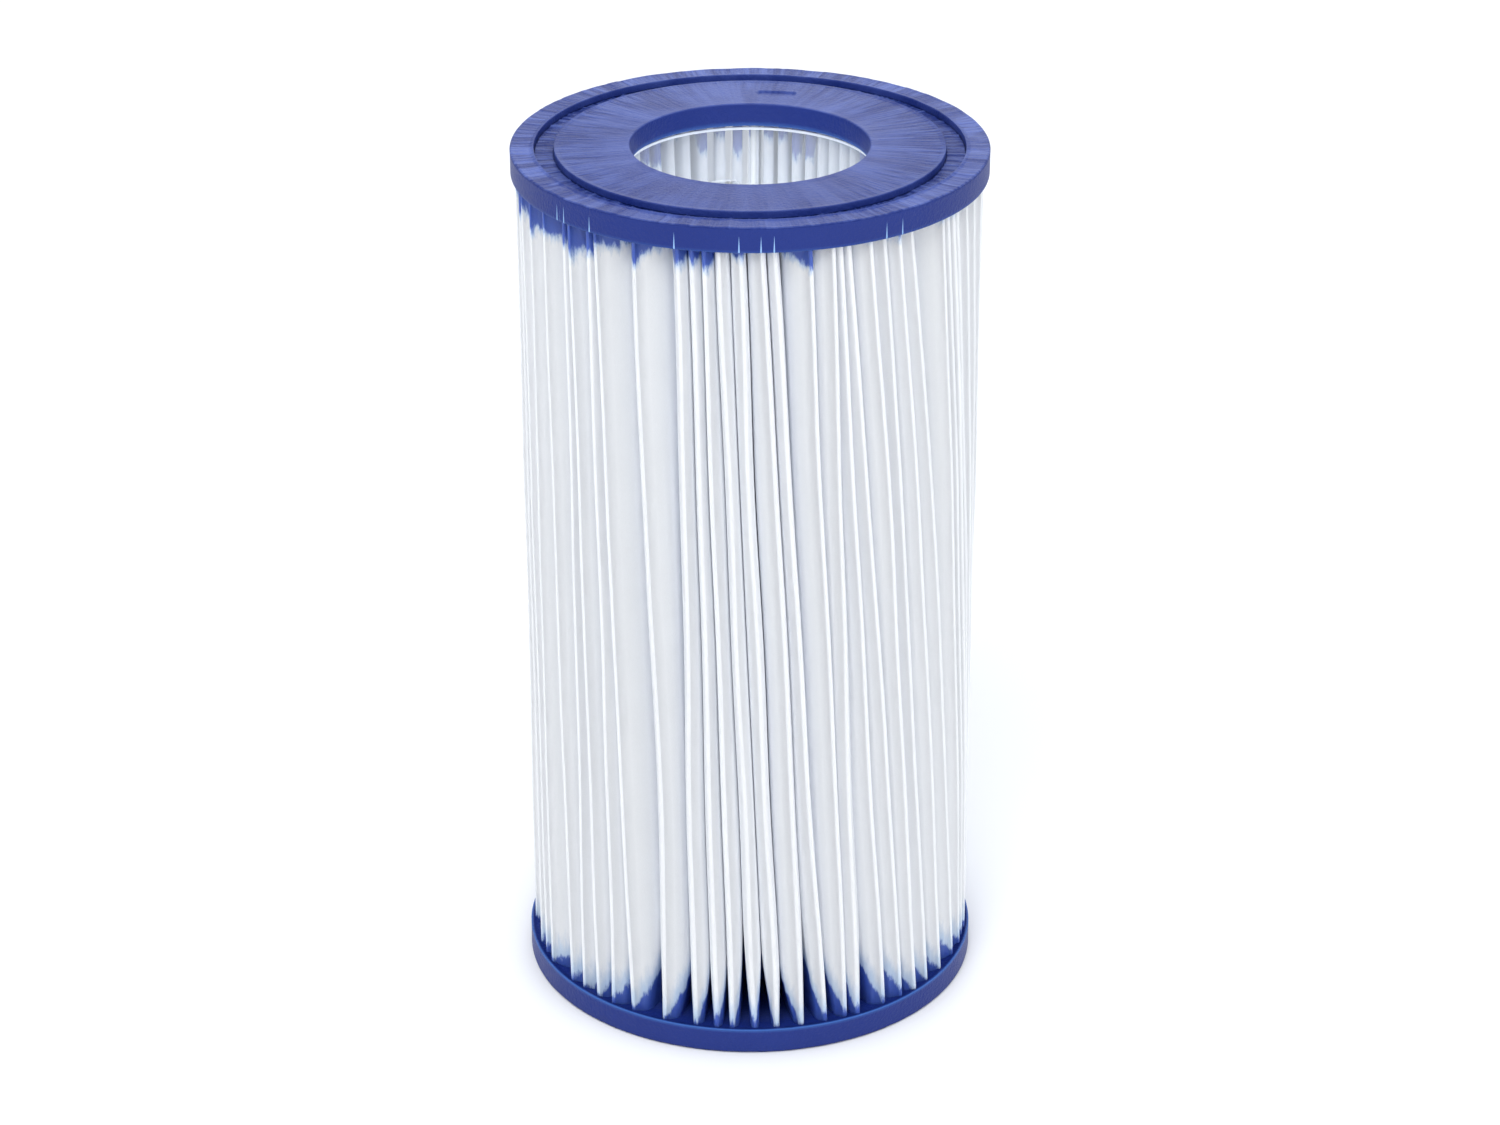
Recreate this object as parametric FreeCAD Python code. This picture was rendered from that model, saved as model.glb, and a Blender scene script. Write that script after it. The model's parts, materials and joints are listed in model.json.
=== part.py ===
import FreeCAD, Part
import math
import os

# A filter cartridge for a small pool or spa pump. One long sheet of non-woven
# media is folded into a ring of upright pleats round a windowed core tube, its
# two ends are joined by a hot-melt bead, and a blue resin cap is cast onto each
# end, so that the pleats and the core stand in the resin.
# Millimetres, +Z up, the axis of the cartridge is Z, and the origin is the
# centre of the bottom face.

os.makedirs("parts", exist_ok=True)

# Overall sizes.
total_height = 203.0
cap_diameter = 106.0
bore_diameter = 53.0

# Castings.
top_cap_depth = 5.4
bottom_cap_depth = 5.8
resin_skin = 2.6
rim_land_width = 5.3
groove_width = 4.4
groove_depth = 1.8
cap_edge_radius = 0.5
groove_edge_radius = 0.3
media_inset = 0.7
lip_height = 0.4

# Blank recess that the mould's insert leaves in the top cap.
recess_length = 9.0
recess_width = 3.2
recess_depth = 0.4
recess_corner = 1.5
recess_angle = 80.0

# Core tube.
core_ledge = 1.4
core_wall = 1.2
stop_bead_gap = 0.6
stop_bead_height = 0.6
stop_bead_proud = 0.3
end_band = 19.0
window_width = 7.2
window_height = 14.0
window_bar = 6.0
window_columns = 12
window_corner = 1.5
first_column_angle = 102.0

# Media sheet.
pleat_count = 60
media_thickness = 0.5
fold_radius = 0.8
media_core_gap = 0.2
seam_angle = 90.0

# Hot-melt bead between the sheet's two ends.
seam_bead_width = 6.0
seam_bead_thickness = 0.4

# Room that a cutting solid has past the surface that it breaks through.
cut_over = 1.0

cap_radius = cap_diameter / 2
bore_radius = bore_diameter / 2
groove_outer_radius = cap_radius - rim_land_width
groove_inner_radius = groove_outer_radius - groove_width
core_inner_radius = bore_radius + core_ledge
core_outer_radius = core_inner_radius + core_wall
media_inner_radius = core_outer_radius + media_core_gap
media_outer_radius = cap_radius - media_inset
insert_height = total_height - 2 * resin_skin


def at(radius, degrees, z=0.0):
    """A point at a radius and an angle round the Z axis."""
    turn = math.radians(degrees)
    return FreeCAD.Vector(radius * math.cos(turn), radius * math.sin(turn), z)


def revolve(profile):
    """A solid of revolution from corners given as (radius, height)."""
    corners = [FreeCAD.Vector(radius, 0, z) for radius, z in profile]
    outline = Part.makePolygon(corners + corners[:1])
    return Part.Face(outline).revolve(FreeCAD.Vector(), FreeCAD.Vector(0, 0, 1), 360)


def circle_edges(solid, radius, z):
    """The circular edges of a solid at a radius and a height."""
    found = []
    for edge in solid.Edges:
        curve = edge.Curve
        if isinstance(curve, Part.Circle):
            if abs(curve.Radius - radius) < 1e-6 and abs(curve.Center.z - z) < 1e-6:
                found.append(edge)
    return found


def cap_blank(depth):
    """One cast cap with its outer face down on z = 0, before anything stands in it."""
    profile = [
        (bore_radius, 0),
        (groove_inner_radius, 0),
        (groove_inner_radius, groove_depth),
        (groove_outer_radius, groove_depth),
        (groove_outer_radius, 0),
        (cap_radius, 0),
        (cap_radius, depth + lip_height),
        (media_outer_radius, depth + lip_height),
        (media_outer_radius, depth),
        (bore_radius, depth),
    ]
    cap = revolve(profile)
    face_edges = circle_edges(cap, cap_radius, 0) + circle_edges(cap, bore_radius, 0)
    cap = cap.makeFillet(cap_edge_radius, face_edges)
    groove_edges = circle_edges(cap, groove_inner_radius, 0) + circle_edges(cap, groove_outer_radius, 0)
    return cap.makeFillet(groove_edge_radius, groove_edges)


def turned_over(solid):
    """A bottom casting turned upside down, so that its outer face is the top of the cartridge."""
    top = solid.copy()
    top.rotate(FreeCAD.Vector(), FreeCAD.Vector(1, 0, 0), 180)
    top.translate(FreeCAD.Vector(0, 0, total_height))
    return top


def slot_prism(length, width, height, corner):
    """A block along Z over a rectangle with rounded corners, centred on the origin."""
    block = Part.makeBox(length, width, height, FreeCAD.Vector(-length / 2, -width / 2, 0))
    uprights = [edge for edge in block.Edges if abs(edge.tangentAt(0).z) > 0.99]
    return block.makeFillet(corner, uprights)


def insert_recess():
    """The recess, sunk in the top face halfway between the bore and the groove."""
    recess = slot_prism(recess_width, recess_length, recess_depth + cut_over, recess_corner)
    recess.rotate(FreeCAD.Vector(), FreeCAD.Vector(0, 0, 1), recess_angle)
    recess.translate(at((bore_radius + groove_inner_radius) / 2, recess_angle, total_height - recess_depth))
    return recess


def core_profile():
    """Half section of the core tube, with a bead inside each end that stops the resin."""
    low = resin_skin
    high = total_height - resin_skin
    low_bead = bottom_cap_depth + stop_bead_gap
    high_bead = total_height - top_cap_depth - stop_bead_gap
    bead_radius = core_inner_radius - stop_bead_proud
    return [
        (core_outer_radius, low),
        (core_outer_radius, high),
        (core_inner_radius, high),
        (core_inner_radius, high_bead),
        (bead_radius, high_bead),
        (bead_radius, high_bead - stop_bead_height),
        (core_inner_radius, high_bead - stop_bead_height),
        (core_inner_radius, low_bead + stop_bead_height),
        (bead_radius, low_bead + stop_bead_height),
        (bead_radius, low_bead),
        (core_inner_radius, low_bead),
        (core_inner_radius, low),
    ]


def window_cutters():
    """Columns of windows, with every second column half a pitch lower."""
    span = total_height - 2 * end_band - window_height
    rows = math.floor(span / (window_height + window_bar) + 0.5)
    pitch = span / (rows - 0.5)
    reach = core_wall + 2 * cut_over
    window = slot_prism(window_height, window_width, reach, window_corner)
    window.rotate(FreeCAD.Vector(), FreeCAD.Vector(0, 1, 0), 90)
    window.translate(FreeCAD.Vector(core_inner_radius - cut_over, 0, 0))
    cutters = []
    for column in range(window_columns):
        drop = 0.5 * pitch * (column % 2)
        angle = first_column_angle + column * 360.0 / window_columns
        for row in range(rows):
            cutter = window.copy()
            cutter.rotate(FreeCAD.Vector(), FreeCAD.Vector(0, 0, 1), angle)
            middle = total_height - end_band - window_height / 2 - drop - row * pitch
            cutter.translate(FreeCAD.Vector(0, 0, middle))
            cutters.append(cutter)
    return cutters


def fold_path():
    """The sheet's way round the core: (centre, radius, turn) for each end and each fold."""
    step = 360.0 / pleat_count
    edge = fold_radius + media_thickness / 2
    outer = media_outer_radius - edge
    inner = media_inner_radius + edge
    half_gap = (media_thickness + seam_bead_thickness) / 2
    end_swing = math.degrees(math.asin(half_gap / media_inner_radius))
    path = [(at(media_inner_radius, seam_angle + end_swing), 0.0, 1)]
    for pleat in range(pleat_count):
        path.append((at(outer, seam_angle + (pleat + 0.5) * step), fold_radius, 1))
        if pleat < pleat_count - 1:
            path.append((at(inner, seam_angle + (pleat + 1) * step), fold_radius, -1))
    path.append((at(media_inner_radius, seam_angle - end_swing), 0.0, 1))
    return path


def panel_headings(path):
    """The direction, in radians, of the flat panel between each two folds."""
    headings = []
    for here, there in zip(path[:-1], path[1:]):
        centre, radius, turn = here
        next_centre, next_radius, next_turn = there
        way = next_centre - centre
        lean = (next_turn * next_radius - turn * radius) / way.Length
        headings.append(math.atan2(way.y, way.x) - math.asin(lean))
    return headings


def fold_edges(path, headings, side):
    """Straight panels and fold arcs of one face of the sheet: side +1 is left of the path."""
    def surface_point(node, normal_angle):
        centre, radius, turn = node
        reach = side * media_thickness / 2 - turn * radius
        return centre + FreeCAD.Vector(math.cos(normal_angle), math.sin(normal_angle), 0) * reach

    quarter = math.pi / 2
    edges = []
    for index, heading in enumerate(headings):
        start = surface_point(path[index], heading + quarter)
        end = surface_point(path[index + 1], heading + quarter)
        edges.append(Part.LineSegment(start, end).toShape())
        if index + 1 < len(headings):
            turn = path[index + 1][2]
            swing = (turn * (headings[index + 1] - heading)) % (2 * math.pi)
            middle = surface_point(path[index + 1], heading + quarter + turn * swing / 2)
            after = surface_point(path[index + 1], headings[index + 1] + quarter)
            edges.append(Part.Arc(end, middle, after).toShape())
    return edges


def upright(edges):
    """A solid over a closed outline, from the skin of one cap to the skin of the other."""
    outline = Part.Wire(Part.__sortEdges__(edges))
    solid = Part.Face(outline).extrude(FreeCAD.Vector(0, 0, insert_height))
    solid.translate(FreeCAD.Vector(0, 0, resin_skin))
    return solid


def closed_by_lines(points):
    """Straight edges from each point to the next and back to the first."""
    return [Part.LineSegment(a, b).toShape() for a, b in zip(points, points[1:] + points[:1])]


def inner_stretch(edge, length):
    """The point of a straight edge nearest the axis, and the point a length along it."""
    ends = sorted((vertex.Point for vertex in edge.Vertexes), key=lambda point: point.Length)
    way = (ends[1] - ends[0]).normalize()
    return ends[0], ends[0] + way * length


path = fold_path()
headings = panel_headings(path)
left_face = fold_edges(path, headings, 1)
right_face = fold_edges(path, headings, -1)
cut_ends = [
    Part.LineSegment(left_face[0].Vertexes[0].Point, right_face[0].Vertexes[0].Point).toShape(),
    Part.LineSegment(left_face[-1].Vertexes[1].Point, right_face[-1].Vertexes[1].Point).toShape(),
]
pleated_media = upright(left_face + right_face + cut_ends)


# The bead fills the narrow wedge between the first panel and the last, which
# both have their right face towards it.
first_in, first_out = inner_stretch(right_face[0], seam_bead_width)
last_in, last_out = inner_stretch(right_face[-1], seam_bead_width)
media_seam_bead = upright(closed_by_lines([first_in, first_out, last_out, last_in]))

centre_core = revolve(core_profile()).cut(window_cutters())

standing = [pleated_media, media_seam_bead, centre_core]
bottom_end_cap = cap_blank(bottom_cap_depth).cut(standing)
top_end_cap = turned_over(cap_blank(top_cap_depth)).cut(standing + [insert_recess()])

nodes = {
    "bottom_end_cap": bottom_end_cap,
    "top_end_cap": top_end_cap,
    "centre_core": centre_core,
    "pleated_media": pleated_media,
    "media_seam_bead": media_seam_bead,
}
for name, shape in nodes.items():
    shape.exportStep("parts/" + name + ".step")
    print(name, "volume %.1f" % shape.Volume, "solids", len(shape.Solids), "valid", shape.isValid())
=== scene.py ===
import json
import math

import bpy
import numpy as np
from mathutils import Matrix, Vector


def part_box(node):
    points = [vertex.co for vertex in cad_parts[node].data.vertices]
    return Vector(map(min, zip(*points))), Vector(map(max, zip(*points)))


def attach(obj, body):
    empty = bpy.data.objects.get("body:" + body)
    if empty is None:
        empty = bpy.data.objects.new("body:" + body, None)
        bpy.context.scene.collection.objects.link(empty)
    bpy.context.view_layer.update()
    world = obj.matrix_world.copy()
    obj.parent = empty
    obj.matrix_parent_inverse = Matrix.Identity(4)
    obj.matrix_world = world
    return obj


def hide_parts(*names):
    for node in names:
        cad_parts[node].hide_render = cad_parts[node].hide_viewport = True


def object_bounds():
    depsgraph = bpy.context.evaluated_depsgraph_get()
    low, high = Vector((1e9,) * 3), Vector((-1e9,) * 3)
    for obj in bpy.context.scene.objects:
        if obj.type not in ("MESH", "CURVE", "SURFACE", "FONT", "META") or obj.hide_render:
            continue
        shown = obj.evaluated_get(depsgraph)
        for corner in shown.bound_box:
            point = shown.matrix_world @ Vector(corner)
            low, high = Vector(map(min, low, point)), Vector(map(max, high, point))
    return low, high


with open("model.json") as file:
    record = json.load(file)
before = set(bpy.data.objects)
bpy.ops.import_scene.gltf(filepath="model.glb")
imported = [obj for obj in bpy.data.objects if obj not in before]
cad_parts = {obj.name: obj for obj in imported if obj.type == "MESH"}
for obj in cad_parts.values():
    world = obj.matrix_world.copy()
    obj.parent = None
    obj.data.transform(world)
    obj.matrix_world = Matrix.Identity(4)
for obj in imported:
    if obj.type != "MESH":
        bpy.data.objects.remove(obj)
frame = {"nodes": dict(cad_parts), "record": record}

cad_box = [list(corner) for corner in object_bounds()]
mm = 0.001


# ---- Core tube
# A thin tube of natural polypropylene, moulded with staggered windows. The raw
# plastic is milky and lets the folds behind it show. Its ends stand in the caps.

def place(tree, kind, settings=None, **inputs):
    """Add a node, set its properties, and fill or link its inputs by name."""
    made = tree.nodes.new(kind)
    for name, value in (settings or {}).items():
        setattr(made, name, value)
    for name, value in inputs.items():
        socket = made.inputs[int(name[1:])] if name[0] == "_" else made.inputs[name.replace("_", " ")]
        if isinstance(value, bpy.types.NodeSocket):
            tree.links.new(value, socket)
        else:
            socket.default_value = value
    return made


def maths(tree, operation, first, second=None):
    """The result of one Math node."""
    values = {"_0": first} if second is None else {"_0": first, "_1": second}
    return place(tree, "ShaderNodeMath", {"operation": operation}, **values).outputs["Value"]


def ranged(tree, value, to, start=(0.0, 1.0), easing="LINEAR"):
    """A value carried from one range to another, and held inside it."""
    node = place(tree, "ShaderNodeMapRange", {"interpolation_type": easing}, Value=value, To_Min=to[0],
                 To_Max=to[1])
    for label, end in zip(("From Min", "From Max"), start):
        if isinstance(end, bpy.types.NodeSocket):
            tree.links.new(end, node.inputs[label])
        else:
            node.inputs[label].default_value = end
    return node.outputs["Result"]


def blend(tree, factor, first, second):
    """A colour between two others."""
    node = place(tree, "ShaderNodeMix", {"data_type": "RGBA"}, Factor=factor, A=first, B=second)
    return node.outputs["Result"]


def effect_group(name, takes, gives):
    """An empty shader node group with named values in and out."""
    group = bpy.data.node_groups.new(name, "ShaderNodeTree")
    for label, kind, value in takes:
        socket = group.interface.new_socket(label, in_out="INPUT", socket_type=kind)
        socket.default_value = value
    for label, kind in gives:
        group.interface.new_socket(label, in_out="OUTPUT", socket_type=kind)
    return group, group.nodes.new("NodeGroupInput").outputs, group.nodes.new("NodeGroupOutput").inputs


def finish_material(name):
    """A material with its Principled BSDF, and the tree that they are in."""
    material = bpy.data.materials.new(name)
    material.use_nodes = True
    tree = material.node_tree
    tree.nodes.clear()
    surface = tree.nodes.new("ShaderNodeBsdfPrincipled")
    output = tree.nodes.new("ShaderNodeOutputMaterial")
    tree.links.new(surface.outputs["BSDF"], output.inputs["Surface"])
    return material, tree, surface.inputs


def fine_grain():
    """Even surface grain: a height and a slow mottle, each between 0 and 1."""
    group, given, result = effect_group(
        "fine grain",
        [("Grain per metre", "NodeSocketFloat", 900.0), ("Mottle per metre", "NodeSocketFloat", 60.0)],
        [("Height", "NodeSocketFloat"), ("Mottle", "NodeSocketFloat")],
    )
    here = place(group, "ShaderNodeTexCoord").outputs["Object"]
    grain = place(group, "ShaderNodeTexNoise", Vector=here, Scale=given["Grain per metre"],
                  Detail=4.0, Roughness=0.62)
    mottle = place(group, "ShaderNodeTexNoise", Vector=here, Scale=given["Mottle per metre"],
                   Detail=3.0, Roughness=0.55)
    group.links.new(grain.outputs["Fac"], result["Height"])
    group.links.new(mottle.outputs["Fac"], result["Mottle"])
    return group


grain_group = fine_grain()


def grain_in(tree, per_metre, mottle_per_metre):
    """The fine grain's outputs, at a material's own sizes."""
    return place(tree, "ShaderNodeGroup", {"node_tree": grain_group}, Grain_per_metre=per_metre,
                 Mottle_per_metre=mottle_per_metre).outputs


core_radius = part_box("centre_core")[1][0]
core_wall = 1.2 * mm
stop_bead_radius = core_radius - core_wall - 0.15 * mm


def milky_plastic():
    """Drawn, milky plastic that is clear enough to see the folds through."""
    material, tree, surface = finish_material("core_milky_polypropylene")
    grain = grain_in(tree, 500.0, 45.0)
    here = place(tree, "ShaderNodeTexCoord").outputs["Object"]
    drawn = place(tree, "ShaderNodeMapping", Vector=here, Scale=(260.0, 260.0, 14.0))
    flow = place(tree, "ShaderNodeTexNoise", Vector=drawn.outputs["Vector"], Scale=1.0, Detail=3.0)
    tone = blend(tree, flow.outputs["Fac"], (0.88, 0.91, 0.94, 1), (0.96, 0.97, 0.98, 1))
    tree.links.new(tone, surface["Base Color"])
    # The tube's wall lets most light through. Its stop beads and its cut edges look white.
    wall_veil = ranged(tree, grain["Mottle"], to=(0.11, 0.25))
    flat = place(tree, "ShaderNodeVectorMath", {"operation": "MULTIPLY"}, _0=here, _1=(1.0, 1.0, 0.0))
    from_axis = place(tree, "ShaderNodeVectorMath", {"operation": "LENGTH"}, _0=flat.outputs["Vector"])
    on_bead = maths(tree, "LESS_THAN", from_axis.outputs["Value"], stop_bead_radius)
    outward = place(tree, "ShaderNodeVectorMath", {"operation": "NORMALIZE"}, _0=flat.outputs["Vector"])
    facing = place(tree, "ShaderNodeTexCoord").outputs["Normal"]
    along = place(tree, "ShaderNodeVectorMath", {"operation": "DOT_PRODUCT"},
                  _0=outward.outputs["Vector"], _1=facing)
    cut_edge = maths(tree, "LESS_THAN", maths(tree, "ABSOLUTE", along.outputs["Value"]), 0.7)
    dense = maths(tree, "MAXIMUM", cut_edge, on_bead)
    tree.links.new(maths(tree, "MAXIMUM", wall_veil, dense), surface["Alpha"])
    tree.links.new(ranged(tree, flow.outputs["Fac"], to=(0.22, 0.42)), surface["Roughness"])
    bump = place(tree, "ShaderNodeBump", Height=grain["Height"], Strength=0.12, Distance=0.2 * mm)
    tree.links.new(bump.outputs["Normal"], surface["Normal"])
    surface["IOR"].default_value = 1.49
    return material


core_tube = frame["nodes"]["centre_core"]
core_tube.data.materials.clear()
core_tube.data.materials.append(milky_plastic())


# ---- Pleated media
# One sheet of spunbonded polyester, half a millimetre thick, folded into 60
# upright pleats. It is pinched where the bottom casting holds it and puffs out
# above. Each pleat leans, because the castings hold its ends at different angles.

media_low, media_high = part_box("pleated_media")
sheet_thickness = 0.5 * mm
pleat_count = 60
pack_outer = media_high[0]
core_gap = 0.3 * mm
pack_inner = core_radius + core_gap
pack_depth = pack_outer - pack_inner
levels = 46
draw = np.random.default_rng(12)

# Steps, in degrees, from one pleat's tip to the next round the front of the
# cartridge, left to right: how the folder left them under each casting.
top_steps = [8, 8, 2.5, 6.5, 2, 11.5, 11, 3.5, 3, 3.5, 5, 5, 3, 8.5, 5.5, 2, 2, 5.5, 4, 4.5,
             3.5, 11.5, 2.5, 2, 2, 5.5, 6, 7.5, 8]
bottom_steps = [11, 4.5, 6, 5, 6.5, 9, 8.5, 5.5, 4, 6, 5.5, 6.5, 6.5, 5.5, 3.5, 8.5, 6, 5, 5.5, 7,
                8, 6, 4.5, 4, 4, 5, 5, 5, 5]
top_first = -67.0
bottom_first = -64.5
front_angle = -90.0


def tip_angles(first, steps):
    """Tip angles, in radians round Z: the front ones as listed, the rest spread by the folder."""
    rest = draw.lognormal(0.0, 0.42, pleat_count - len(steps))
    rest *= (360.0 - sum(steps)) / rest.sum()
    turns = np.cumsum([first + front_angle] + list(steps) + list(rest[:-1]))
    return np.radians(turns)


top_tips = tip_angles(top_first, top_steps)
bottom_tips = tip_angles(bottom_first, bottom_steps)

# The sheet's two ends meet at the back, so the pleats are counted from there.
seam_at = int(np.searchsorted(top_tips, math.radians(90.0)))
top_tips = np.concatenate([top_tips[seam_at:] - 2 * math.pi, top_tips[:seam_at]])
bottom_tips = np.concatenate([bottom_tips[seam_at:] - 2 * math.pi, bottom_tips[:seam_at]])


def smooth_step(low, high, value):
    """0 up to low, 1 from high on, and an even curve between them. Low may be the larger one."""
    x = np.clip((value - low) / (high - low), 0.0, 1.0)
    return x * x * (3 - 2 * x)


def next_round(angles):
    """Each angle's neighbour, once round from the last to the first."""
    return np.append(angles[1:], angles[0] + 2 * math.pi)


def off_angle(angles, middle):
    """How far round angles are from a middle one, from minus to plus half a turn."""
    return (angles - middle + math.pi) % (2 * math.pi) - math.pi


def settled(angles, reach=4):
    """Fold angles at the core: midway between tips, evened out over their neighbours."""
    middles = (angles + next_round(angles)) / 2
    wrapped = np.concatenate([middles[-reach:] - 2 * math.pi, middles, middles[:reach] + 2 * math.pi])
    window = np.hanning(2 * reach + 3)[1:-1]
    return np.convolve(wrapped, window / window.sum(), mode="valid")


sway_reach = 0.13
pleat_sway = draw.uniform(-1, 1, (3, pleat_count))
tip_shyness = draw.uniform(0.0, 0.6, pleat_count) * mm
tip_wander = draw.uniform(0, 2 * math.pi, pleat_count)
panel_phase = draw.uniform(0, 2 * math.pi, (4, pleat_count, 2))
# Along a panel, 0 is at the core's fold and 1 at the tip.
panel_depths = np.array([0.1, 0.25, 0.4, 0.54, 0.66, 0.77, 0.86, 0.91, 0.955])
most_push = 6.5 * mm

# In every valley one panel or both bulge until they nearly meet. Round the front
# the panel that is further from the middle bulges most. At the foot, where the
# resin holds them, the valleys of the front stay open.
off_front = off_angle(bottom_tips, math.radians(front_angle))
front_lean = -np.clip(off_front / math.radians(6), -1, 1)
valley_lean = np.where(np.abs(off_front) < math.radians(110), front_lean, np.sin(3 * off_front))
valley_split = np.clip(0.5 + 0.38 * valley_lean + draw.uniform(-0.12, 0.12, pleat_count), 0.06, 0.94)
valley_foot = draw.uniform(0.14, 0.4, pleat_count) + 0.42 * smooth_step(
    math.radians(16), math.radians(45), np.abs(off_front))
valley_rise = draw.uniform(0.09, 0.19, pleat_count)
tip_swing = np.linspace(0, math.pi, 7)
fold_swing = np.linspace(0, math.pi, 5)
tip_pinched = 0.4 * mm
tip_puffed = 0.29 * mm
tip_clearance = 0.32 * mm
fold_half = 0.88 * mm
fold_clearance = 0.29 * mm
least_valley = 0.63 * mm
tip_wander_width = 0.25 * mm
ripple_height = 0.02 * mm


def belly(push, panel_depth):
    """How far a panel bulges at each of its points: a fuller belly sits further behind the tip."""
    widest = 1 - min(max(0.95 * push[-1] / panel_depth, 0.085), 0.34)
    behind = np.sin(0.5 * math.pi * np.minimum(panel_depths / (0.69 * widest), 1)) ** 1.3
    to_the_tip = 1 - ((panel_depths - widest) / (1 - widest)) ** 2
    return push * np.where(panel_depths > widest, to_the_tip, behind)


def level_section(share):
    """One level of the sheet's middle line: angle, radius and depth of each point, in order."""
    tips = bottom_tips + (top_tips - bottom_tips) * share
    gap = next_round(tips) - tips
    room = np.minimum(gap, np.roll(gap, 1))
    sway = (pleat_sway[0] * math.sin(math.pi * share)
            + 0.6 * pleat_sway[1] * math.sin(2 * math.pi * share)
            + 0.35 * pleat_sway[2] * math.sin(5 * math.pi * share))
    tips = tips + sway_reach * room * sway
    gap = next_round(tips) - tips
    room = np.minimum(gap, np.roll(gap, 1)) * pack_outer
    puffed = valley_foot + (1 - valley_foot) * smooth_step(0.0, valley_rise, share)
    puffed = puffed * (0.95 + 0.05 * smooth_step(0.0, 0.1, 1 - share))
    half = tip_pinched + (tip_puffed - tip_pinched) * share
    half = np.minimum(half, room / 2 - tip_clearance)
    wander = tip_wander_width * np.sin(tip_wander + 7 * share) * math.sin(math.pi * share)
    crown = pack_outer - sheet_thickness / 2 - tip_shyness - np.abs(wander)
    shoulder = crown - half
    folds = settled(tips)
    fold_centre = pack_inner + sheet_thickness / 2 + fold_half
    fold_gap = next_round(folds) - folds
    beside = np.minimum(fold_gap, np.roll(fold_gap, 1)) * fold_centre
    fold_halves = np.minimum(fold_half, beside / 2 - fold_clearance)
    leans = fold_halves / fold_centre
    turn_of = half / shoulder
    valleys = next_round(tips) - tips - turn_of - np.append(turn_of[1:], turn_of[0])
    ripple_fade = min(1.0, 8 * share, 8 * (1 - share))
    points = []
    for k in range(pleat_count):
        fold_before = folds[k - 1] - (2 * math.pi if k == 0 else 0)
        fold_after = folds[k]
        turn = turn_of[k]
        climb = fold_centre + (shoulder[k] - fold_centre) * panel_depths
        sides = []
        for side in (0, 1):
            sign = -1 if side == 0 else 1
            valley_id = (k - 1 if side == 0 else k) % pleat_count
            lean = leans[valley_id]
            start = fold_before + lean if side == 0 else fold_after - lean
            straight = start + (tips[k] + sign * turn - start) * panel_depths
            width = (2 * lean * (1 - panel_depths) + valleys[valley_id] * panel_depths) * climb
            part = 1 - valley_split[valley_id] if side == 0 else valley_split[valley_id]
            part = part * puffed[valley_id]
            push = belly(np.clip(width - least_valley, 0, most_push) * part, shoulder[k] - fold_centre)
            ripple = ripple_height * np.sin(math.pi * panel_depths) * (
                np.sin(panel_phase[0, k, side] + 9 * share + 3 * panel_depths)
                + 0.6 * np.sin(panel_phase[1, k, side] + 17 * share - 4 * panel_depths))
            sides.append(straight + sign * (push + ripple * ripple_fade) / climb)
        if k > 0:
            for swing in fold_swing:
                points.append((fold_before - leans[k - 1] * math.cos(swing),
                               fold_centre - fold_halves[k - 1] * math.sin(swing), 0.0))
        else:
            points.append((fold_before + leans[-1], fold_centre - fold_halves[-1], 0.0))
        points += list(zip(sides[0], climb, panel_depths))
        for swing in tip_swing:
            points.append((tips[k] - turn * math.cos(swing),
                           shoulder[k] + half[k] * math.sin(swing), 1.0))
        points += list(zip(sides[1][::-1], climb[::-1], panel_depths[::-1]))
    points.append((folds[-1] - leans[-1], fold_centre - fold_halves[-1], 0.0))
    return np.array(points)


def new_piece(name, points, faces):
    """A smooth mesh object made from points and faces."""
    mesh = bpy.data.meshes.new(name)
    mesh.from_pydata([tuple(p) for p in points], [], [tuple(f) for f in faces])
    mesh.validate()
    mesh.polygons.foreach_set("use_smooth", [True] * len(mesh.polygons))
    piece = bpy.data.objects.new(name, mesh)
    bpy.context.scene.collection.objects.link(piece)
    return piece


def note_values(piece, name, values):
    """Keep one number for each point of a piece, which its material reads by name."""
    kept = piece.data.attributes.new(name, "FLOAT", "POINT")
    kept.data.foreach_set("value", np.asarray(values, dtype=np.float32).ravel())


def strip_faces(rows, across, start=0, flip=False):
    """Quads over a grid of points, row by row."""
    low = start + (np.arange(rows - 1)[:, None] * across + np.arange(across - 1)[None, :]).ravel()
    quads = np.stack([low, low + 1, low + across + 1, low + across], axis=1)
    return quads[:, ::-1] if flip else quads


even = np.linspace(0, 1, levels)
shares = 0.55 * even + 0.45 * (0.5 - 0.5 * np.cos(math.pi * even))
sections = [level_section(share) for share in shares]
level_heights = media_low[2] + (media_high[2] - media_low[2]) * shares


def sheet_surfaces():
    """The left and right faces of the sheet, as grids of points, level by level."""
    left, right = [], []
    for section, height in zip(sections, level_heights):
        angle, radius = section[:, 0], section[:, 1]
        line = np.stack([radius * np.cos(angle), radius * np.sin(angle)], axis=1)
        way = np.gradient(line, axis=0)
        way /= np.linalg.norm(way, axis=1)[:, None]
        side = np.stack([-way[:, 1], way[:, 0]], axis=1) * sheet_thickness / 2
        level = np.full((len(line), 1), height)
        left.append(np.hstack([line + side, level]))
        right.append(np.hstack([line - side, level]))
    return np.array(left), np.array(right)


left_surface, right_surface = sheet_surfaces()
across = left_surface.shape[1]
surface_points = levels * across
left_ids = np.arange(surface_points).reshape(levels, across)
right_ids = left_ids + surface_points


def rim_faces(one, other):
    """Quads between two rows of points."""
    return [(one[i], one[i + 1], other[i + 1], other[i]) for i in range(len(one) - 1)]


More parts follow.
